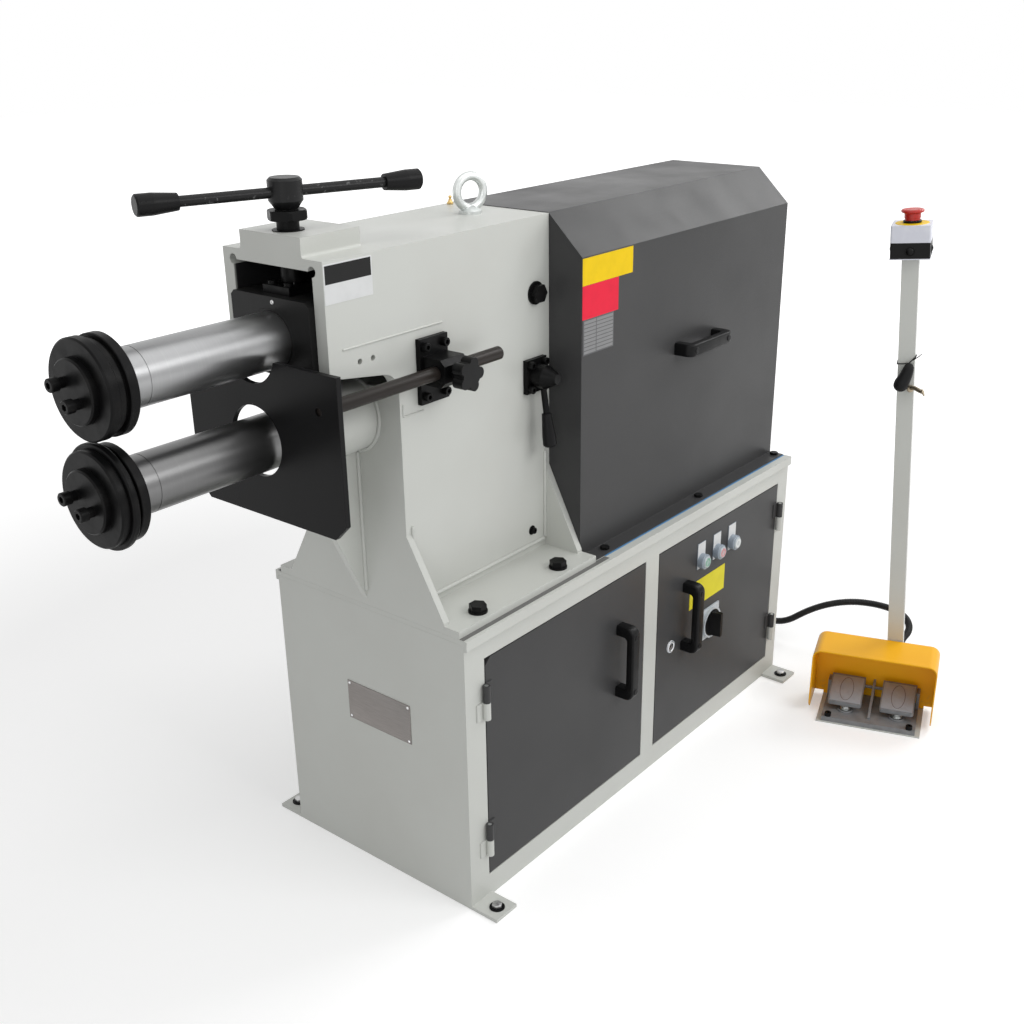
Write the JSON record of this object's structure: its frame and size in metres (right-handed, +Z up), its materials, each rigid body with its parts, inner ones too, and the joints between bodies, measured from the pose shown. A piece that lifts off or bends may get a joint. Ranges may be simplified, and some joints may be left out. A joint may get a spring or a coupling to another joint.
{
  "type": "bead roller",
  "caption": "Motorised bead roller on a cabinet: paired rollers on long shafts, screw-down arm, gauge plate, drive hood, doors and a foot switch station with a stop button.",
  "frame": {"origin": "on the floor, midway between the four floor anchor holes", "axes": "+X from the rollers to the rear of the hood, -Y towards the doors, +Z up"},
  "size_m": [1.6856, 0.8289, 1.1397],
  "materials": {
    "pale_paint": "satin powder coat",
    "dark_paint": "satin powder coat",
    "black_paint": "satin paint",
    "bright_steel": "ground",
    "black_steel": "black oxide",
    "zinc_steel": "bright zinc",
    "black_plastic": "fine texture",
    "bronze": "machined",
    "yellow_paint": "gloss paint",
    "grey_cast": "satin cast",
    "red_plastic": "gloss",
    "green_plastic": "gloss",
    "white_plastic": "gloss",
    "drive_paint": "painted",
    "motor_paint": "painted",
    "gear_steel": "oiled",
    "cast_black": "satin paint"
  },
  "bodies": {
    "frame": {"cabinet": "pale_paint", "cabinet_top": "pale_paint", "hinge_pins": "zinc_steel", "column_frame": "pale_paint", "shaft_bushes": "bronze", "base_bolts": "black_steel", "hood": "dark_paint", "hood_bolts": "black_steel", "hood_handle": "black_plastic", "eyebolt": "zinc_steel", "rod_clamp": "black_steel", "cap_screws": "black_steel", "pivot_pins": "black_steel", "lever_flange": "black_steel", "drive_bracket": "black_paint", "gearbox": "drive_paint", "motor": "motor_paint", "control_panel": "zinc_steel", "screw_nut": "bronze", "station_frame": "pale_paint", "pedal_base": "grey_cast", "pedal_guard": "yellow_paint", "estop_base": "black_plastic", "estop_cover": "white_plastic", "conduit": "black_plastic", "conduit_glands": "black_plastic"},
    "swing_arm": {"swing_arm": "cast_black", "arm_bushes": "bronze", "foot_retainer": "black_steel"},
    "upper_spindle": {"upper_shaft": "bright_steel", "upper_roller": "black_steel", "upper_cap": "black_steel", "upper_gear": "gear_steel"},
    "lower_spindle": {"lower_shaft": "bright_steel", "lower_roller": "black_steel", "lower_cap": "black_steel", "lower_gear": "gear_steel"},
    "screw_foot": {"screw_foot": "bright_steel"},
    "adjust_screw": {"adjust_screw": "black_steel", "stop_nut": "black_steel", "tee_bar": "black_steel", "tee_grips": "black_plastic"},
    "gauge": {"gauge_plate": "black_paint", "gauge_rod": "black_steel"},
    "clamp_knob": {"clamp_knob": "black_plastic"},
    "lock_lever": {"lock_lever": "black_steel", "lever_grip": "black_plastic"},
    "left_door": {"left_door": "dark_paint", "left_door_handle": "black_plastic"},
    "right_door": {"right_door": "dark_paint", "right_door_handle": "black_plastic", "control_bezels": "zinc_steel"},
    "key_lock": {"key_lock": "zinc_steel"},
    "switch_knob": {"switch_knob": "black_plastic"},
    "start_button": {"start_button": "green_plastic"},
    "stop_button": {"stop_button": "red_plastic"},
    "jog_button": {"jog_button": "white_plastic"},
    "left_pedal": {"left_pedal": "grey_cast"},
    "right_pedal": {"right_pedal": "grey_cast"},
    "estop_button": {"estop_button": "red_plastic"}
  },
  "joints": [
    {"name": "arm_tilt", "type": "hinge", "parent": "frame", "child": "swing_arm", "pos_m": [-0.193, 0, 0.93], "axis": [0, 1, 0], "range_deg": [-0.29, 1.72]},
    {"name": "upper_spin", "type": "hinge", "parent": "swing_arm", "child": "upper_spindle", "pos_m": [-0.5, 0, 0.934], "axis": [1, 0, 0], "continuous": true},
    {"name": "lower_spin", "type": "hinge", "parent": "frame", "child": "lower_spindle", "pos_m": [-0.5, 0, 0.798], "axis": [1, 0, 0], "continuous": true},
    {"name": "screw_lift", "type": "slide", "parent": "frame", "child": "screw_foot", "axis": [0, 0, 1], "range_m": [-0.002, 0.012]},
    {"name": "screw_turn", "type": "hinge", "parent": "screw_foot", "child": "adjust_screw", "pos_m": [-0.592, 0, 1.05], "axis": [0, 0, 1], "range_deg": [-120, 720]},
    {"name": "gauge_slide", "type": "slide", "parent": "frame", "child": "gauge", "axis": [1, 0, 0], "range_m": [-0.09, 0.005]},
    {"name": "clamp_turn", "type": "hinge", "parent": "frame", "child": "clamp_knob", "pos_m": [-0.4335, -0.15, 0.868], "axis": [0, 1, 0], "range_deg": [0, 120]},
    {"name": "lever_turn", "type": "hinge", "parent": "frame", "child": "lock_lever", "pos_m": [-0.1995, -0.11, 0.802], "axis": [0, 1, 0], "range_deg": [0, 90]},
    {"name": "left_door_hinge", "type": "hinge", "parent": "frame", "child": "left_door", "pos_m": [-0.458, -0.2083, 0.2], "axis": [0, 0, -1], "range_deg": [0, 110]},
    {"name": "right_door_hinge", "type": "hinge", "parent": "frame", "child": "right_door", "pos_m": [0.465, -0.2083, 0.2], "axis": [0, 0, 1], "range_deg": [0, 50]},
    {"name": "key_turn", "type": "hinge", "parent": "right_door", "child": "key_lock", "pos_m": [0.073, -0.2, 0.234], "axis": [0, 1, 0], "range_deg": [0, 90]},
    {"name": "switch_turn", "type": "hinge", "parent": "right_door", "child": "switch_knob", "pos_m": [0.211, -0.2, 0.231], "axis": [0, 1, 0], "range_deg": [0, 90]},
    {"name": "estop_press", "type": "slide", "parent": "frame", "child": "estop_button", "axis": [0.022, -0.0653, -0.9976], "range_m": [0, 0.004], "stiffness_N_per_m": 400, "springref_m": -0.002},
    {"name": "start_press", "type": "slide", "parent": "right_door", "child": "start_button", "axis": [0, 1, 0], "range_m": [0, 0.004], "stiffness_N_per_m": 250, "springref_m": -0.001},
    {"name": "stop_press", "type": "slide", "parent": "right_door", "child": "stop_button", "axis": [0, 1, 0], "range_m": [0, 0.004], "stiffness_N_per_m": 250, "springref_m": -0.001},
    {"name": "jog_press", "type": "slide", "parent": "right_door", "child": "jog_button", "axis": [0, 1, 0], "range_m": [0, 0.004], "stiffness_N_per_m": 250, "springref_m": -0.001},
    {"name": "left_pedal_press", "type": "hinge", "parent": "frame", "child": "left_pedal", "pos_m": [0.48652, -0.43792, 0.04], "axis": [0.319, -0.9478, 0], "range_deg": [0, 7], "stiffness_Nm_per_rad": 8, "springref_deg": -3.44},
    {"name": "right_pedal_press", "type": "hinge", "parent": "frame", "child": "right_pedal", "pos_m": [0.48652, -0.43792, 0.04], "axis": [0.319, -0.9478, 0], "range_deg": [0, 7], "stiffness_Nm_per_rad": 8, "springref_deg": -3.44}
  ],
  "couplings": [
    {"joint": "upper_spin", "follows": "lower_spin", "ratio": -1},
    {"joint": "arm_tilt", "follows": "screw_turn", "ratio": 0.0023933},
    {"joint": "screw_lift", "follows": "screw_turn", "m_per_rad": 0.00095493}
  ]
}
